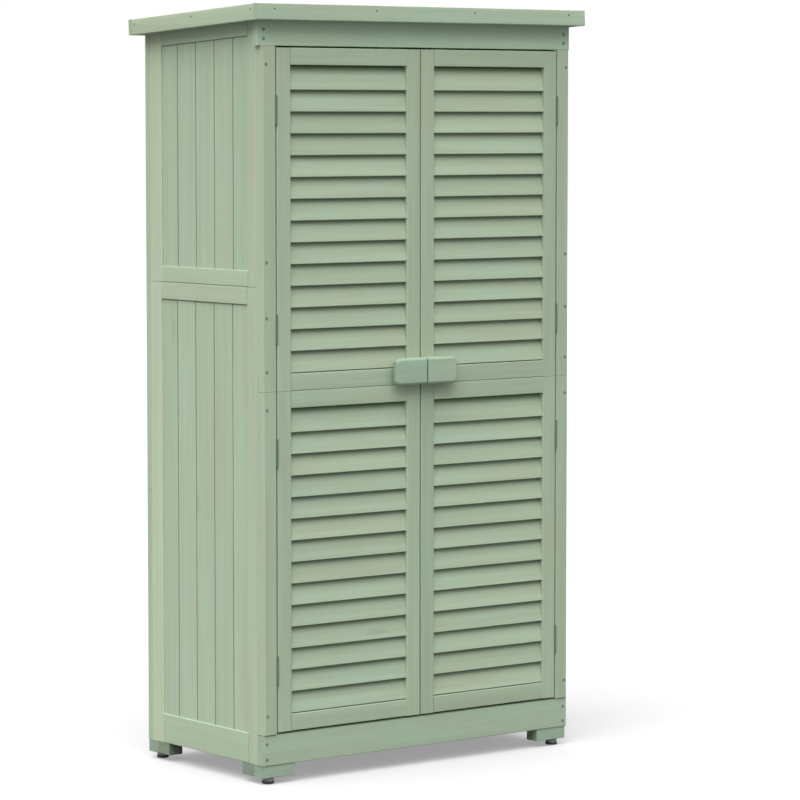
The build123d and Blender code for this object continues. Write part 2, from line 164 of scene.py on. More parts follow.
# %% Sky and sun
sun_strength = 3.2
sun_softness = 60
sun_towards = Vector((-0.436, -0.308, 0.846))
sky_overhead = 1.425
sky_horizon = 0.26


def seen_directly(tree):
    """1 where the camera, a mirror or glass looks straight at the surface, 0 for the light it sends out."""
    path = add(tree, "ShaderNodeLightPath")
    both = add(tree, "ShaderNodeMath", {0: path.outputs["Is Camera Ray"], 1: path.outputs["Is Glossy Ray"]})
    total = add(
        tree, "ShaderNodeMath", {0: both.outputs[0], 1: path.outputs["Is Transmission Ray"]}, use_clamp=True
    )
    return total.outputs[0]


world = bpy.data.worlds.new("white_studio")
scene.world = world
world.use_nodes = True
tree = world.node_tree
direction = add(tree, "ShaderNodeTexCoord").outputs["Generated"]
upward = add(tree, "ShaderNodeSeparateXYZ", {0: direction}).outputs["Z"]
height = add(tree, "ShaderNodeClamp", {"Value": upward}).outputs[0]
sky_light = weighted(tree, sky_horizon, (height, sky_overhead - sky_horizon))
sky_colour = mixed(tree, seen_directly(tree), sky_light, (1, 1, 1, 1))
tree.links.new(sky_colour, tree.nodes["Background"].inputs["Color"])

sun = bpy.data.objects.new("soft_sun", bpy.data.lights.new("soft_sun", "SUN"))
scene.collection.objects.link(sun)
sun.data.energy = sun_strength
sun.data.angle = math.radians(sun_softness)
sun.rotation_euler = sun_towards.to_track_quat("Z", "Y").to_euler()
scene.view_settings.view_transform = "Standard"
print("Sun", sun_softness, "degrees wide, sky from", sky_horizon, "to", sky_overhead)

# %% Floor
floor_half = 40
floor_drop = 0.0004
floor_lift = 0.31
floor_seen = 0.415
floor_bounce = 0.12

floor_shape = bmesh.new()
bmesh.ops.create_grid(floor_shape, x_segments=1, y_segments=1, size=floor_half)
bmesh.ops.translate(floor_shape, verts=floor_shape.verts, vec=(0, 0, -floor_drop))
floor_mesh = bpy.data.meshes.new("studio_floor")
floor_shape.to_mesh(floor_mesh)
floor_shape.free()
floor = bpy.data.objects.new("studio_floor", floor_mesh)
scene.collection.objects.link(floor)

floor_paint, tree, shader = new_material("white_floor")
floor_level = weighted(tree, floor_bounce, (seen_directly(tree), floor_seen - floor_bounce))
tree.links.new(floor_level, shader.inputs["Base Color"])
shader.inputs["Roughness"].default_value = 0.9
shader.inputs["Emission Color"].default_value = (1, 1, 1, 1)
tree.links.new(weighted(tree, 0.0, (seen_directly(tree), floor_lift)), shader.inputs["Emission Strength"])
floor_mesh.materials.append(floor_paint)
print("Floor", 2 * floor_half, "m square")

# %% [markdown]
# ## Painted softwood
# The boards are planed softwood under a thin matt sage-green paint. Close up the paint shows the wood
# below: long streaks along the grain, blotches that lean to yellow or to blue and a few knots. Eased edges
# are lighter, as worn paint and a painted highlight, or darker as painted shade, and a dark green strip
# under an overhang is painted shade. A picture of wood would do for one board only. Here every board
# carries its own grain coordinates, with the first one along its length, so one material fits all of them
# and no two boards are alike.

# %% Painted wood: the patterns
warm_green = srgb(174, 184, 157)
cool_green = srgb(154, 180, 158)
bare_edge_and_highlight = srgb(200, 208, 186)
damp_green = srgb(46, 84, 34)
damp_fade = 2.5
knots_along = 2.6
knots_across = 9
knot_rim = 0.10
knot_core = 0.03
knots_left_out = 0.72


def drawn_out(tree, grain, along, across, detail):
    """Noise drawn out along the grain; along and across are its patches a metre."""
    stretch = add(tree, "ShaderNodeMapping", {"Vector": grain, "Scale": (along, across, across)})
    return add(
        tree, "ShaderNodeTexNoise", {"Vector": stretch.outputs[0], "Scale": 1.0, "Detail": detail}
    ).outputs[0]


def board_value(tree, name):
    """A value that every board carries."""
    return add(tree, "ShaderNodeAttribute", attribute_name=name).outputs["Fac"]


painted_wood, tree, shader = new_material("painted_wood")
grain = add(tree, "ShaderNodeAttribute", attribute_name="grain").outputs["Vector"]
blotches = drawn_out(tree, grain, 4.5, 13, 3)
streaks = drawn_out(tree, grain, 2.2, 75, 4)
fibres = drawn_out(tree, grain, 14, 620, 2)

knot_scale = (knots_along, knots_across, knots_across)
knot_stretch = add(tree, "ShaderNodeMapping", {"Vector": grain, "Scale": knot_scale})
knot_cells = add(tree, "ShaderNodeTexVoronoi", {"Vector": knot_stretch.outputs[0], "Scale": 1.0})
knot_spot = add(
    tree,
    "ShaderNodeMapRange",
    {"Value": knot_cells.outputs["Distance"], "From Min": knot_rim, "From Max": knot_core},
    interpolation_type="SMOOTHSTEP",
)
knot_draw = add(tree, "ShaderNodeSeparateColor", {"Color": knot_cells.outputs["Color"]})
knot_kept = add(
    tree, "ShaderNodeMath", {0: knot_draw.outputs[0], 1: knots_left_out}, operation="GREATER_THAN"
)
knots = add(
    tree, "ShaderNodeMath", {0: knot_spot.outputs[0], 1: knot_kept.outputs[0]}, operation="MULTIPLY"
).outputs[0]
print("Painted wood: patterns made of", len(tree.nodes), "nodes")

# %% Painted wood: colour, roughness and bump
hue = weighted(tree, -0.35, (board_value(tree, "lean"), 0.35), (blotches, 0.8), (streaks, 0.8))
green = mixed(tree, hue, warm_green, cool_green)
arris = board_value(tree, "arris")
# On eased edges the colour goes paler here and the value rises below, as worn paint and a painted
# highlight; a value below 0 darkens them as painted shade.
worn_and_lit = mixed(tree, weighted(tree, 0.0, (arris, 0.3)), green, bare_edge_and_highlight)
value = weighted(
    tree,
    0.71,
    (board_value(tree, "tone"), 1.0),
    (blotches, 0.12),
    (streaks, 0.36),
    (fibres, 0.12),
    (knots, -0.11),
    (arris, 0.06),
)
coat = add(tree, "ShaderNodeHueSaturation", {"Value": value, "Color": worn_and_lit}).outputs[0]
# Near the upper end of a board, the shade strip mixes the colour towards dark green as painted shade.
damp = add(tree, "ShaderNodeMath", {0: board_value(tree, "damp"), 1: damp_fade}, operation="POWER")
tree.links.new(mixed(tree, damp.outputs[0], coat, damp_green), shader.inputs["Base Color"])
tree.links.new(weighted(tree, 0.50, (streaks, 0.22), (fibres, 0.10)), shader.inputs["Roughness"])
shader.inputs["Specular IOR Level"].default_value = 0.35
height = weighted(tree, 0.0, (fibres, 0.6), (streaks, 0.4), (knots, 0.3))
bump = add(tree, "ShaderNodeBump", {"Height": height, "Strength": 0.25, "Distance": 0.0008})
tree.links.new(bump.outputs[0], shader.inputs["Normal"])
print("Painted wood:", len(tree.nodes), "nodes in all")

# %% [markdown]
# ## From a solid to boards with grain
# Each wooden sub-part of the frame is one mesh that may hold many boards, as loose triangles. A copy is
# welded, its flat triangles are joined back into whole faces, and the faces are sorted into boards by the
# edges that they share. Then each board gets its grain coordinates, along its longest side first, and a
# draw of its own for colour. Narrow faces are the eased edges, which are made lighter as worn paint and a
# painted highlight, or darker as painted shade.

# %% Welding a copy and finding its solids
weld_gap = 1e-5
flat_angle = math.radians(0.5)
sharp_angle = math.radians(50)
square_on = 0.9


def loose_solids(shape):
    """The faces of a mesh in groups, one for each separate solid."""
    for face in shape.faces:
        face.tag = False
    groups = []
    for first in shape.faces:
        if first.tag:
            continue
        first.tag = True
        group = [first]
        for face in group:
            joined = [edge for edge in face.edges if len(edge.link_faces) == 2]
            for other in [other for edge in joined for other in edge.link_faces]:
                if not other.tag:
                    other.tag = True
                    group.append(other)
        groups.append(group)
    return groups


def welded(node):
    """A bmesh copy of a sub-part, merged and freed of the edges inside its flat faces."""
    shape = bmesh.new()
    shape.from_mesh(frame["nodes"][node].data)
    bmesh.ops.remove_doubles(shape, verts=shape.verts, dist=weld_gap)
    for group in loose_solids(shape):
        bmesh.ops.split(shape, geom=group, use_only_faces=True)
    bmesh.ops.dissolve_limit(shape, angle_limit=flat_angle, verts=shape.verts, edges=shape.edges)
    return shape


def extent(faces):
    """The lowest and the highest corner of a group of faces."""
    places = [vert.co for face in faces for vert in face.verts]
    low = Vector([min(place[axis] for place in places) for axis in range(3)])
    high = Vector([max(place[axis] for place in places) for axis in range(3)])
    return low, high


def solid_boxes(node):
    """The box of every solid of a sub-part."""
    shape = welded(node)
    boxes = [extent(group) for group in loose_solids(shape)]
    shape.free()
    return boxes


print("The upper left side has", len(solid_boxes("left_upper_side_boards")), "boards")

# %% [markdown]
# ## A finished piece
# Every piece ends in the same steps: edges up to a set angle are shaded smoothly, with the large faces
# ruling, so an eased edge looks rounded and a flat face stays flat. Then the piece rides on its body and
# stands in for its solid.

# %% Finishing a piece


def finished(name, shape, material, slot, *nodes):
    """Make a bmesh a piece that stands in for sub-parts of the frame and moves with them."""
    for face in shape.faces:
        face.smooth = True
    for edge in shape.edges:
        edge.smooth = edge.calc_face_angle(0) < sharp_angle
    mesh = bpy.data.meshes.new(name)
    shape.to_mesh(mesh)
    shape.free()
    mesh.materials.append(material)
    piece = bpy.data.objects.new(name, mesh)
    scene.collection.objects.link(piece)
    piece.modifiers.new("large_faces_rule", "WEIGHTED_NORMAL").keep_sharp = True
    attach(piece, frame["nodes"][nodes[0]]["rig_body"])
    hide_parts(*nodes)
    return piece


print("Edges that turn by less than", round(math.degrees(sharp_angle)), "degrees look smooth")

# %% [markdown]
# ## Shade strips
# Just under the upper end of a board, where the part above overhangs it, the colour goes towards dark
# green as painted shade. The strip is a value on the corners of the faces, so a board is first cut across
# at the strip's lower edge.

# %% Cutting below the upper end


def upper_end(board):
    """A point on the upper end of a board, and the direction that the end faces."""
    end = max(board, key=lambda face: (face.normal.z > square_on, face.calc_center_median().z))
    return end.calc_center_median(), end.normal.copy()


def cut_below_top(shape, depth):
    """Cut every board of a mesh across, at a depth below its upper end."""
    for board in loose_solids(shape):
        edges = {edge for face in board for edge in face.edges}
        verts = {vert for face in board for vert in face.verts}
        top, upward = upper_end(board)
        bmesh.ops.bisect_plane(
            shape, geom=[*board, *edges, *verts], plane_co=top - depth * upward, plane_no=upward
        )


# A strip along the top of the bottom rail, below the doors, is darkened as painted shade.
rail_damp = 0.005
trial = welded("bottom_rail")
before = len(trial.faces)
cut_below_top(trial, rail_damp)
print("A cut across the bottom rail turns", before, "faces into", len(trial.faces))
trial.free()

# %% Painting the boards
arris_width = 0.0024
grain_shift = 40
lean_spread = 0.25
tone_spread = 0.03
end_grain_tone = -0.14


def painted(node, shape, lean=0.0, tone=0.0, wear=0.4, damp=0.0, lap=0.0, change=None):
    """Give every board of a sub-part its grain and its draw of colour, and finish it.

    lean is -1 for a yellowish and 1 for a bluish coat, and tone makes a coat lighter or darker.
    wear above 0 makes eased edges lighter, as worn paint and a painted highlight, and
    below 0 makes them darker, as painted shade.
    damp is the height of a strip near the upper end of each board, darkened towards green outside
    as painted shade.
    lap is how much of the board above that strip lies hidden in a groove.
    change takes the lowest and highest corner of a board and gives what to add to its lean and its tone.
    """
    if damp:
        cut_below_top(shape, lap + damp)
    grain_of = shape.loops.layers.float_vector.new("grain")
    damp_of = shape.loops.layers.float.new("damp")
    lean_of = shape.faces.layers.float.new("lean")
    tone_of = shape.faces.layers.float.new("tone")
    arris_of = shape.faces.layers.float.new("arris")
    boards = loose_solids(shape)
    for number, board in enumerate(boards):
        draw = random.Random(f"{node} {number}")
        low, high = extent(board)
        top, upward = upper_end(board)
        size = high - low
        first, second, third = sorted(range(3), key=lambda axis: -size[axis])
        shift = Vector([draw.uniform(0, grain_shift) for axis in range(3)])
        more_lean, more_tone = change(low, high) if change else (0.0, 0.0)
        board_lean = lean + more_lean + draw.uniform(-lean_spread, lean_spread)
        board_tone = tone + more_tone + draw.uniform(-tone_spread, tone_spread)
        for face in board:
            face[lean_of] = board_lean
            is_outside = face.normal.xy.dot(face.calc_center_median().xy) > 0
            is_end = abs(face.normal[first]) > square_on
            face[tone_of] = board_tone + (end_grain_tone if is_end else 0.0)
            width = face.calc_area() / max(edge.calc_length() for edge in face.edges)
            face[arris_of] = wear if width < arris_width else 0.0
            for loop in face.loops:
                place = loop.vert.co
                loop[grain_of] = Vector((place[first], place[second], place[third])) + shift
                # Outer faces darken towards the board's upper end, as painted shade.
                if damp and is_outside:
                    loop[damp_of] = max(0.0, 1 - ((top - place).dot(upward) - lap) / damp)
    finished(node + "_wood", shape, painted_wood, "painted_wood", node)
    return len(boards)


def wooden(node, rounding=0.0, from_angle=sharp_angle, **coat):
    """A sub-part in painted wood, its edges rounded where they turn by more than an angle."""
    shape = welded(node)
    if rounding:
        edges = [edge for edge in shape.edges if edge.calc_face_angle(0) > from_angle]
        bmesh.ops.bevel(
            shape, geom=edges, offset=rounding, segments=2, profile=0.5, affect="EDGES", material=-1
        )
    return painted(node, shape, **coat)


print("Faces narrower than", arris_width * 1000, "mm count as eased edges")

# %% [markdown]
# ## Side and back panels
# Each panel is a frame of two stiles and two rails with a row of boards in its grooves. The boards keep
# the small V of their joints, which shows as fine upright lines, darkened as painted shade. A loose tongue
# lies in each joint, half in either board, so that no daylight shows through. Where a board comes out of
# the rail above it, a thin dark green line is painted shade.

# %% Boards with tongues
tongue_reach = 0.002
tongue_thickness = 0.002
# Below 0, this darkens the narrow faces in the joints between boards, as painted shade.
groove_wear = -8.0
board_lap = 0.011
# The strip just below the rail above each board is darkened as painted shade.
board_damp = 0.0045


def tongued(node, **coat):
    """A row of upright boards in painted wood, with a tongue in each joint."""
    shape = welded(node)
    boxes = [extent(board) for board in loose_solids(shape)]
    row_low, row_high = extent(shape.faces)
    row, across = (0, 1) if row_high.x - row_low.x > row_high.y - row_low.y else (1, 0)
    boxes.sort(key=lambda box: box[0][row])
    for (low, high), (next_low, next_high) in zip(boxes, boxes[1:]):
        size = (high - low).copy()
        size[row] = next_low[row] - high[row] + 2 * tongue_reach
        size[across] = tongue_thickness
        size.z = min(high.z, next_high.z) - low.z
        middle = (low + high) / 2
        middle[row] = (high[row] + next_low[row]) / 2
        middle.z = low.z + size.z / 2
        matrix = Matrix.Translation(middle) @ Matrix.Diagonal(size).to_4x4()
        bmesh.ops.create_cube(shape, size=1, matrix=matrix)
    return painted(node, shape, wear=groove_wear, damp=board_damp, lap=board_lap, **coat)


print("Tongues reach", tongue_reach * 1000, "mm into a board")

# %% Panels
back_stiles_from = 0.15


def bleached_behind(low, high):
    """The back stiles of the sides have bleached most."""
    return (-0.7, 0.08) if low.y > back_stiles_from else (0.0, 0.0)


level_tone = {"lower": 0.03, "upper": -0.02}
panel_boards = 0
for level in ("lower", "upper"):
    for side in ("left", "right"):
        panel_boards += wooden(
            f"{side}_{level}_side_frame", lean=-0.3, tone=0.02, wear=0.2, change=bleached_behind
        )
        panel_boards += tongued(f"{side}_{level}_side_boards", tone=level_tone[level])
    panel_boards += wooden(f"{level}_back_frame")
    panel_boards += tongued(f"{level}_back_boards")
print("Panels hold", panel_boards, "pieces of wood")

# %% [markdown]
# ## Posts, rails and feet
# The posts stand in two lengths, one for each half of the doors. The header and the bottom rail have a
# bluer coat than the rest. The header's is paler too, as painted light that lifts the shade under the roof,
# and a thin dark green line along the top of the bottom rail is painted shade under the doors. The feet
# are darker than the rest, and their legs that run from front to back darker still, as painted shade.

# %% Posts, rails and feet
# The header's raised tone is painted light that lifts the shade under the roof.
wooden("header_rail", lean=0.9, tone=0.26)
# Along its top, the bottom rail is darkened towards green as painted shade.
wooden("bottom_rail", lean=0.35, tone=0.03, damp=rail_damp)
# The right-hand posts and door frames are darker than the left ones, as painted shade.
side_shade_tone = {"left": -0.01, "right": -0.05}


def painted_shade_sideways(low, high):
    """The legs of the feet that run from front to back are darker, as painted shade."""
    return (0.0, -0.33) if high.y - low.y > high.x - low.x else (0.0, 0.0)


for side in ("left", "right"):
    wooden(f"{side}_lower_post", lean=-0.25, tone=side_shade_tone[side])
    wooden(f"{side}_upper_post", lean=-0.25, tone=side_shade_tone[side])
    wooden(f"{side}_front_foot", lean=0.6, tone=-0.09, change=painted_shade_sideways)
    wooden(f"{side}_back_foot", lean=0.6, tone=-0.12, change=painted_shade_sideways)
print("Two rails, four posts and four feet")

# %% [markdown]
# ## Louvred doors
# Fourteen slats lean back in slots in the stiles of each half door. Their lower edges stand forward and
# throw the dark lines that make the doors read as louvres, so the slats are true solids and not a drawn
# pattern. High on each slat, under the one above, the colour goes towards dark green as painted shade.
# The handles are blocks with a finger cove, and their chamfered rims are rounded by a bevel and darkened
# as painted shade.

# %% Doors
handle_round = 0.0018
chamfer_angle = math.radians(30)
# The strip high on each slat, under the one above, is darkened towards green as painted shade.
slat_damp = 0.024
slats = 0
for side in ("left", "right"):
    for level in ("lower", "upper"):
        wooden(f"{side}_{level}_door_frame", lean=-0.1, tone=side_shade_tone[side])
        slats += wooden(f"{side}_{level}_door_slats", lean=-0.1, tone=-0.05, damp=slat_damp)
    wooden(
        f"{side}_door_handle",
        rounding=handle_round,
        from_angle=chamfer_angle,
        lean=0.8,
        tone=-0.05,
        # Below 0, the rounded rims of the handles are darkened as painted shade.
        wear=-1.5,
    )
print("Doors hold", slats, "slats")

# %% [markdown]
# ## Roof, floor and shelves
# The rim boards close the roof on four sides. Under the felt lie deck boards on three battens. Inside,
# boards lie across bearers. Their solids are square, so a bevel eases their edges here.

# %% Roof, floor and shelves
hidden_ease = 0.0012
for place, lean in (("front", 0.2), ("back", 0.2), ("left", -0.5), ("right", -0.5)):
    wooden(f"roof_rim_{place}", lean=lean, tone=0.03)
wooden("roof_deck_boards", lean=-0.2)
wooden("roof_battens", rounding=hidden_ease)
for node in ("floor_boards", "floor_bearers", "lower_shelf_boards", "upper_shelf_boards", "shelf_bearers"):
    wooden(node, rounding=hidden_ease)
print("Roof, floor and two shelves")

# %% [markdown]
# ## Steel and plastic
# The fittings are small, and each finish is simple: dull zinc on screws and plates, darker steel on the
# hinges, moulded plastic under the feet and on the magnet catches. Fine noise keeps them from looking
# like flat colour.

# %% Steel and plastic


def mottled(name, dark, light, patches, metallic, rough):
    """A finish that wavers between two colours, with a fine grain in its gloss and its surface."""
    material, tree, shader = new_material(name)
    place = add(tree, "ShaderNodeTexCoord").outputs["Object"]
    spots = add(tree, "ShaderNodeTexNoise", {"Vector": place, "Scale": patches, "Detail": 4}).outputs[0]
    dust = add(tree, "ShaderNodeTexNoise", {"Vector": place, "Scale": patches * 9, "Detail": 2}).outputs[0]
    tree.links.new(mixed(tree, spots, dark, light), shader.inputs["Base Color"])
    tree.links.new(weighted(tree, rough - 0.1, (spots, 0.1), (dust, 0.1)), shader.inputs["Roughness"])
    shader.inputs["Metallic"].default_value = metallic
    fine = add(tree, "ShaderNodeBump", {"Height": dust, "Strength": 0.1, "Distance": 0.0002})
    tree.links.new(fine.outputs[0], shader.inputs["Normal"])
    return material


zinc_steel = mottled("zinc_steel", srgb(116, 130, 112), srgb(142, 156, 136), 260, 0.15, 0.6)
dark_steel = mottled("dark_steel", srgb(58, 66, 56), srgb(84, 92, 80), 260, 0.3, 0.6)
hinge_steel = mottled("hinge_steel", srgb(80, 98, 74), srgb(104, 122, 96), 180, 0.2, 0.5)
black_plastic = mottled("black_plastic", srgb(24, 24, 24), srgb(38, 38, 38), 240, 0.0, 0.55)
grey_plastic = mottled("grey_plastic", srgb(136, 142, 138), srgb(160, 166, 160), 240, 0.0, 0.6)
brown_plastic = mottled("brown_plastic", srgb(92, 76, 62), srgb(112, 94, 78), 200, 0.0, 0.5)
print("Six finishes for the fittings")

# %% [markdown]
# ## Screws
# A wood screw has a flat head with a cross recess. The head starts as a grid that is eased into a disc,
# so that the cross is made of whole faces. These are inset downwards, and the rim is drawn down into a
# cone and a shank.

# %% Helpers for small meshes


def stamped(shape, master, matrix):
    """Add a copy of a small mesh to a bmesh, moved by a matrix."""
    count = len(shape.verts)
    shape.from_mesh(master)
    shape.verts.ensure_lookup_table()
    bmesh.ops.transform(shape, matrix=matrix, verts=shape.verts[count:])


def facing(place, direction, size=1.0):
    """A matrix that turns a piece made facing +Z to a direction and carries it to a place."""
    turn = direction.to_track_quat("Z", "Y").to_matrix().to_4x4()
    return Matrix.Translation(place) @ turn @ Matrix.Scale(size, 4)


def drawn_down(shape, drop, narrowing):
    """Extend the open rim of a shape downwards, wider or narrower."""
    rim = [edge for edge in shape.edges if edge.is_boundary]
    made = bmesh.ops.extrude_edge_only(shape, edges=rim)["geom"]
    verts = [item for item in made if isinstance(item, bmesh.types.BMVert)]
    bmesh.ops.scale(shape, vec=(narrowing, narrowing, 1), verts=verts)
    bmesh.ops.translate(shape, vec=(0, 0, -drop), verts=verts)


print("Screws are made with a head of radius 1 and scaled where they go")

# %% One screw
cross_cells = 5
cross_wall = 0.06
cross_depth = 0.4
head_rim = 0.08
head_cone = 0.6
shank_length = 5.0
screw_shape = bmesh.new()
bmesh.ops.create_grid(screw_shape, x_segments=cross_cells, y_segments=cross_cells, size=1)
arm = 1.5 * 2 / cross_cells
bar = 0.5 * 2 / cross_cells
cross = []
for face in screw_shape.faces:
    off = face.calc_center_median()
    if min(abs(off.x), abs(off.y)) < bar and max(abs(off.x), abs(off.y)) < arm:
        cross.append(face)
for vert in screw_shape.verts:
    x, y = vert.co.x, vert.co.y
    vert.co.x = x * math.sqrt(1 - y * y / 2)
    vert.co.y = y * math.sqrt(1 - x * x / 2)
bmesh.ops.inset_region(
    screw_shape, faces=cross, thickness=cross_wall, depth=-cross_depth, use_even_offset=True
)
drawn_down(screw_shape, head_rim, 1.0)
drawn_down(screw_shape, head_cone, 0.5)
drawn_down(screw_shape, shank_length, 0.9)
bmesh.ops.holes_fill(screw_shape, edges=screw_shape.edges)
bmesh.ops.recalc_face_normals(screw_shape, faces=screw_shape.faces)
screw = bpy.data.meshes.new("one_screw")
screw_shape.to_mesh(screw)
print("One screw has", len(screw_shape.faces), "faces,", len(cross), "of them in its cross")
screw_shape.free()

# %% Screws in the frame
screw_radius = 0.0040
screw_proud = 0.0001
shape = bmesh.new()
for low, high in solid_boxes("frame_screws"):
    middle = (low + high) / 2
    outward = Vector((0, math.copysign(1, middle.y), 0))
    middle.y = high.y if middle.y > 0 else low.y
    stamped(shape, screw, facing(middle + screw_proud * outward, outward, screw_radius))
screws = finished("frame_screws_zinc", shape, zinc_steel, "zinc_steel", "frame_screws")
print("Screws", len(screws.data.polygons) // len(screw.polygons))

# %% [markdown]
# ## Nails, glides and hinge barrels
# Round pieces are turned, as on a lathe: half of the outline is drawn as a few points and spun round the
# Z axis. One helper does it, and the nails, the glides under the feet and the hinge barrels all come from
# it.

# %% Turning on a lathe


def turned(profile, steps):
    """A round mesh from an outline of (radius, height) points that starts and ends on the axis."""
    shape = bmesh.new()
    points = [shape.verts.new((radius, 0, height)) for radius, height in profile]
    lines = [shape.edges.new(pair) for pair in zip(points, points[1:])]
    bmesh.ops.spin(
        shape,
        geom=points + lines,
        cent=(0, 0, 0),
        axis=(0, 0, 1),
        angle=2 * math.pi,
        steps=steps,
        use_merge=True,
    )
    bmesh.ops.remove_doubles(shape, verts=shape.verts, dist=weld_gap)
    bmesh.ops.recalc_face_normals(shape, faces=shape.faces)
    mesh = bpy.data.meshes.new("turned")
    shape.to_mesh(mesh)
    shape.free()
    return mesh


print("A cone turned in 8 steps has", len(turned([(0, 0), (1, 0), (0, 1)], steps=8).polygons), "faces")

# %% Nails
nail_radius = 0.0020
nail_length = 0.026
nail_crown = 0.0003
shank_radius = 0.6 * nail_radius
nail = turned(
    [
        (0, -nail_length),
        (shank_radius, -nail_length),
        (shank_radius, -nail_radius),
        (nail_radius, -nail_crown),
        (0.8 * nail_radius, 0.0002),
        (0, nail_crown),
    ],
    steps=12,
)
shape = bmesh.new()
roof_slope = math.radians(3)
for low, high in solid_boxes("roof_nails"):
    middle = (low + high) / 2
    size = high - low
    if size.x > size.y:
        outward = Vector((math.copysign(1, middle.x), 0, 0))
    else:
        forward = math.copysign(1, middle.y)
        outward = forward * Vector((0, math.cos(roof_slope), -math.sin(roof_slope)))
    stamped(shape, nail, facing(middle + outward * max(size.x, size.y) / 2, outward))
nails = finished("roof_nails_dulled", shape, dark_steel, "zinc_steel", "roof_nails")
print("Nails", len(nails.data.polygons) // len(nail.polygons))

# %% [markdown]
# ## Glides
# A black base with a rounded lower edge and a slightly narrower grey collar carry each foot.

# %% Glides
base_height = 0.006
glide_height = 0.014
base_radius = 0.013
collar_radius = 0.012
lower_round = 0.002
fine_round = 0.0006
glide = turned(
    [
        (0, 0),
        (base_radius - lower_round, 0),
        (base_radius - fine_round, fine_round),
        (base_radius, lower_round),
        (base_radius, base_height - fine_round),
        (base_radius - fine_round, base_height),
        (collar_radius, base_height),
        (collar_radius, glide_height),
        (0, glide_height),
    ],
    steps=32,
)
shape = bmesh.new()
for low, high in solid_boxes("foot_glides"):
    stamped(shape, glide, Matrix.Translation(((low.x + high.x) / 2, (low.y + high.y) / 2, low.z)))
glides = finished("foot_glides_moulded", shape, black_plastic, "glide_plastic", "foot_glides")
glides.data.materials.append(grey_plastic)
for face in glides.data.polygons:
    face.material_index = 1 if face.center.z > base_height + fine_round else 0
print("Glides", len(glides.data.polygons) // len(glide.polygons))

# %% [markdown]
# ## Plates with rounded corners
# Hinge leaves, joining plates and strike plates are stamped from sheet steel. A cube is scaled to the
# solid's box, the edges across its thickness are rounded widely, and every other edge gets a fine round.

# %% A plate


def plate(low, high, corner, rim):
    """A flat mesh that fills a box, with round corners and a fine round on its rims."""
    size = high - low
    thin = min(range(3), key=lambda axis: size[axis])
    shape = bmesh.new()
    bmesh.ops.create_cube(shape, size=1)
    bmesh.ops.scale(shape, vec=size, verts=shape.verts)
    bmesh.ops.translate(shape, vec=(low + high) / 2, verts=shape.verts)
    across = []
    for edge in shape.edges:
        first, second = edge.verts
        if abs(first.co[thin] - second.co[thin]) > size[thin] / 2:
            across.append(edge)
    bmesh.ops.bevel(shape, geom=across, offset=corner, segments=4, profile=0.5, affect="EDGES", material=-1)
    rims = [edge for edge in shape.edges if edge.calc_face_angle(0) > sharp_angle]
    bmesh.ops.bevel(shape, geom=rims, offset=rim, segments=2, profile=0.5, affect="EDGES", material=-1)
    mesh = bpy.data.meshes.new("plate")
    shape.to_mesh(mesh)
    shape.free()
    return mesh


in_place = Matrix.Identity(4)
plate_corner = 0.003
plate_rim = 0.0003
sample = plate(Vector((0, 0, 0)), Vector((0.02, 0.001, 0.08)), plate_corner, plate_rim)
print("A plate has", len(sample.polygons), "faces")

# %% Joining plates and strike plates
small_screw = 0.0032


def screwed_plates(node, axis, shares):
    """The plates of a sub-part on a door's back, with screws at shares of their length along an axis."""
    shape = bmesh.new()
    for low, high in solid_boxes(node):
        stamped(shape, plate(low, high, plate_corner, plate_rim), in_place)
        for share in shares:
            place = (low + high) / 2
            place.y = high.y + screw_proud
            place[axis] = low[axis] + share * (high[axis] - low[axis])
            stamped(shape, screw, facing(place, Vector((0, 1, 0)), small_screw))
    finished(node + "_zinc", shape, zinc_steel, "zinc_steel", node)


for side in ("left", "right"):
    screwed_plates(f"{side}_door_joining_plates", 2, (0.12, 0.36, 0.64, 0.88))
    screwed_plates(f"{side}_door_strike_plate", 0, (0.2, 0.8))
print("Four joining plates and two strike plates")

# %% [markdown]
# ## Hinges
# Four butt hinges carry each door. Closed, only the barrel shows, in a notch at the gap between post and
# door. The joint in the frame gives the hinge line. The post's leaf carries the outer knuckles and the
# pin, the door's leaf the middle knuckle, so the right pieces move when a door opens.

# %% Hinge leaves
knuckle_count = 3
knuckle_radius = 0.0027
knuckle_gap = 0.0003
knuckle_round = 0.0003
leaf_thickness = 0.0011
leaf_depth = 0.019
leaf_corner = 0.0015
leaf_rim = 0.0002
web_corner = 0.0002
web_rim = 0.0001
half_gap = 0.0015
leaf_screw = 0.0026


def knuckle(low, high):
    """One knuckle as a turned mesh between two heights."""
    return turned(
        [
            (0, low),
            (knuckle_radius - knuckle_round, low),
            (knuckle_radius, low + knuckle_round),
            (knuckle_radius, high - knuckle_round),
            (knuckle_radius - knuckle_round, high),
            (0, high),
        ],
        steps=20,
    )


def hinge_leaf(node, name, line, towards, knuckles):
    """The leaves on one side of a door's hinges; towards is the way from the gap to their wood."""
    shape = bmesh.new()
    wall = line.x + towards * half_gap
    face = wall - towards * leaf_thickness
    left, right = min(wall, face), max(wall, face)
    for low, high in solid_boxes(node):
        length = high.z - low.z
        leaf_low = Vector((left, line.y + knuckle_radius, low.z))
        leaf_high = Vector((right, line.y + leaf_depth, high.z))
        stamped(shape, plate(leaf_low, leaf_high, leaf_corner, leaf_rim), in_place)
        for number in knuckles:
            bottom = low.z + number * length / knuckle_count + knuckle_gap / 2
            top = low.z + (number + 1) * length / knuckle_count - knuckle_gap / 2
            stamped(shape, knuckle(bottom, top), Matrix.Translation((line.x, line.y, 0)))
            web_low = Vector((left, line.y, bottom))
            web_high = Vector((right, line.y + 2 * knuckle_radius, top))
            stamped(shape, plate(web_low, web_high, web_corner, web_rim), in_place)
        for share, deep in ((0.16, 0.6), (0.5, 0.75), (0.84, 0.6)):
            place = Vector((face, line.y + deep * leaf_depth, low.z + share * length))
            stamped(shape, screw, facing(place, Vector((-towards, 0, 0)), leaf_screw))
    return finished(name, shape, hinge_steel, "hinge_steel", node)


print("A hinge has", knuckle_count, "knuckles")

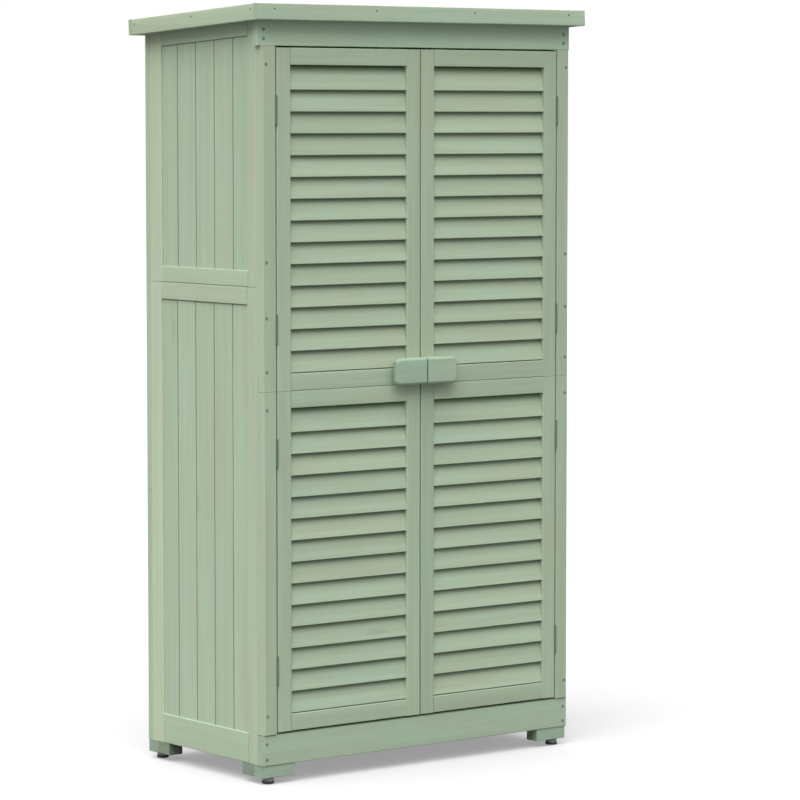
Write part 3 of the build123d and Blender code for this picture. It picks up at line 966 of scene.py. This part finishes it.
# %% Hinges on their lines
pin_radius = 0.0012
pin_tip = 0.0004
for joint in frame["joints"]:
    side = joint["child"].split("_")[0]
    line = Vector(joint["pos_m"])
    outward = math.copysign(1, line.x)
    hinge_leaf(f"{side}_hinge_post_leaves", f"{side}_post_hinges", line, outward, (0, 2))
    hinge_leaf(f"{side}_hinge_door_leaves", f"{side}_door_hinges", line, -outward, (1,))
    shape = bmesh.new()
    for low, high in solid_boxes(f"{side}_hinge_pins"):
        pin = turned(
            [
                (0, low.z),
                (0.7 * pin_radius, low.z),
                (pin_radius, low.z + pin_tip / 2),
                (pin_radius, high.z - pin_tip / 2),
                (0.7 * pin_radius, high.z),
                (0, high.z),
            ],
            steps=12,
        )
        stamped(shape, pin, Matrix.Translation((line.x, line.y, 0)))
    finished(f"{side}_hinge_pins_steel", shape, hinge_steel, "hinge_steel", f"{side}_hinge_pins")

# %% [markdown]
# ## Magnet catches
# A brown plastic case hangs behind the header, one for each door. Its face toward the door holds two
# steel strips with the magnet between them, which meet the strike plate.

# %% Magnet catches
case_corner = 0.002
case_rim = 0.0006
strip_margin = 0.006
strip_proud = 0.0003
strip_depth = 0.004
strip_half = 0.001
strip_corner = 0.0004
strip_rim = 0.0002
shape = bmesh.new()
boxes = solid_boxes("magnet_catches")
for low, high in boxes:
    stamped(shape, plate(low, high, case_corner, case_rim), in_place)
cases = len(shape.faces)
for low, high in boxes:
    for share in (0.16, 0.32):
        height = low.z + share * (high.z - low.z)
        strip_low = Vector((low.x + strip_margin, low.y - strip_proud, height - strip_half))
        strip_high = Vector((high.x - strip_margin, low.y + strip_depth, height + strip_half))
        stamped(shape, plate(strip_low, strip_high, strip_corner, strip_rim), in_place)
catches = finished("magnet_catches_cased", shape, brown_plastic, "catch_plastic", "magnet_catches")
catches.data.materials.append(zinc_steel)
for face in catches.data.polygons:
    face.material_index = 1 if face.index >= cases else 0
print("Magnet catches with", len(catches.data.polygons) - cases, "faces on their strips")

# %% [markdown]
# ## Roof felt
# The photograph doesn't show the top of the roof. Sheds of this kind have mineral felt there, a bitumen
# sheet with crushed slate pressed into it. The sheet is the frame's solid, cut finely and moved by a
# fraction of a millimetre, so that it lies like felt on boards.

# %% Felt finish
felt_dark = srgb(58, 66, 58)
felt_light = srgb(112, 120, 106)
chips_a_metre = 620

roof_felt, tree, shader = new_material("roof_felt")
place = add(tree, "ShaderNodeTexCoord").outputs["Object"]
chips = add(tree, "ShaderNodeTexVoronoi", {"Vector": place, "Scale": chips_a_metre})
chip_draw = add(tree, "ShaderNodeSeparateColor", {"Color": chips.outputs["Color"]})
weather = add(tree, "ShaderNodeTexNoise", {"Vector": place, "Scale": 9, "Detail": 4}).outputs[0]
chip_share = weighted(tree, -0.35, (chip_draw.outputs[0], 0.9), (weather, 0.7))
tree.links.new(mixed(tree, chip_share, felt_dark, felt_light), shader.inputs["Base Color"])
shader.inputs["Roughness"].default_value = 0.92
grit = add(
    tree, "ShaderNodeBump", {"Height": chips.outputs["Distance"], "Strength": 0.6, "Distance": 0.0008}
)
tree.links.new(grit.outputs[0], shader.inputs["Normal"])
print("Felt chips", round(1000 / chips_a_metre, 1), "mm apart")

# %% Felt sheet
felt_cuts = 40
felt_wave = 0.0005
waves_a_metre = 14
shape = welded("roof_felt")
top = max(shape.faces, key=lambda face: face.calc_center_median().z)
bmesh.ops.subdivide_edges(shape, edges=top.edges, cuts=felt_cuts, use_grid_fill=True)
for vert in shape.verts:
    if all(face.normal.z > square_on for face in vert.link_faces):
        vert.co.z += felt_wave * (noise.noise(vert.co * waves_a_metre) - 0.5)
felt_low, felt_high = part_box("roof_felt")
finished("roof_felt_sheet", shape, roof_felt, "roof_felt", "roof_felt")
print("Felt", [round(length, 3) for length in felt_high - felt_low])
